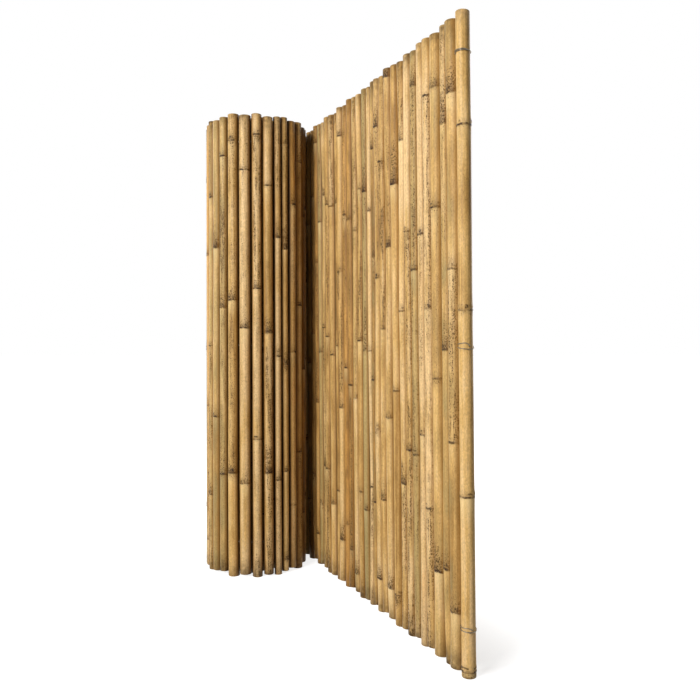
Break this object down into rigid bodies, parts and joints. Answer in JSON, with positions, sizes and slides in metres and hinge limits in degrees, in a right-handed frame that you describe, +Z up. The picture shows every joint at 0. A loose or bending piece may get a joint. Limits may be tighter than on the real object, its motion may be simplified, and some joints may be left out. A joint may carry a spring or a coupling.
{
  "type": "bamboo fence panel",
  "caption": "Roll-up fence of whole bamboo canes threaded on wires, standing on end: a straight panel that leads back into a roll.",
  "frame": {"origin": "floor under the middle of the plan's bounding box", "axes": "+Z up along the canes, +X to the right and +Y away with the roll at the far left and the free end near right"},
  "size_m": [0.5124, 0.7264, 1],
  "materials": {
    "bamboo": "satin",
    "wire": "galvanised"
  },
  "bodies": {
    "root": {"panel_cane_01": "bamboo", "panel_cane_02": "bamboo", "panel_cane_03": "bamboo", "panel_cane_04": "bamboo", "panel_cane_05": "bamboo", "panel_cane_06": "bamboo", "panel_cane_07": "bamboo", "panel_cane_08": "bamboo", "panel_cane_09": "bamboo", "panel_cane_10": "bamboo", "panel_cane_11": "bamboo", "panel_cane_12": "bamboo", "panel_cane_13": "bamboo", "panel_cane_14": "bamboo", "panel_cane_15": "bamboo", "panel_cane_16": "bamboo", "panel_cane_17": "bamboo", "panel_cane_18": "bamboo", "panel_cane_19": "bamboo", "panel_cane_20": "bamboo", "panel_cane_21": "bamboo", "panel_cane_22": "bamboo", "panel_cane_23": "bamboo", "panel_cane_24": "bamboo", "panel_cane_25": "bamboo", "panel_cane_26": "bamboo", "panel_cane_27": "bamboo", "panel_cane_28": "bamboo", "panel_cane_29": "bamboo", "roll_cane_01": "bamboo", "roll_cane_02": "bamboo", "roll_cane_03": "bamboo", "roll_cane_04": "bamboo", "roll_cane_05": "bamboo", "roll_cane_06": "bamboo", "roll_cane_07": "bamboo", "roll_cane_08": "bamboo", "roll_cane_09": "bamboo", "roll_cane_10": "bamboo", "roll_cane_11": "bamboo", "roll_cane_12": "bamboo", "roll_cane_13": "bamboo", "roll_cane_14": "bamboo", "roll_cane_15": "bamboo", "roll_cane_16": "bamboo", "roll_cane_17": "bamboo", "roll_cane_18": "bamboo", "roll_cane_19": "bamboo", "roll_cane_20": "bamboo", "roll_cane_21": "bamboo", "roll_cane_22": "bamboo", "roll_cane_23": "bamboo", "roll_cane_24": "bamboo", "roll_cane_25": "bamboo", "roll_cane_26": "bamboo", "roll_cane_27": "bamboo", "inner_turn_canes": "bamboo", "bottom_wire": "wire", "middle_wire": "wire", "top_wire": "wire"}
  },
  "joints": []
}
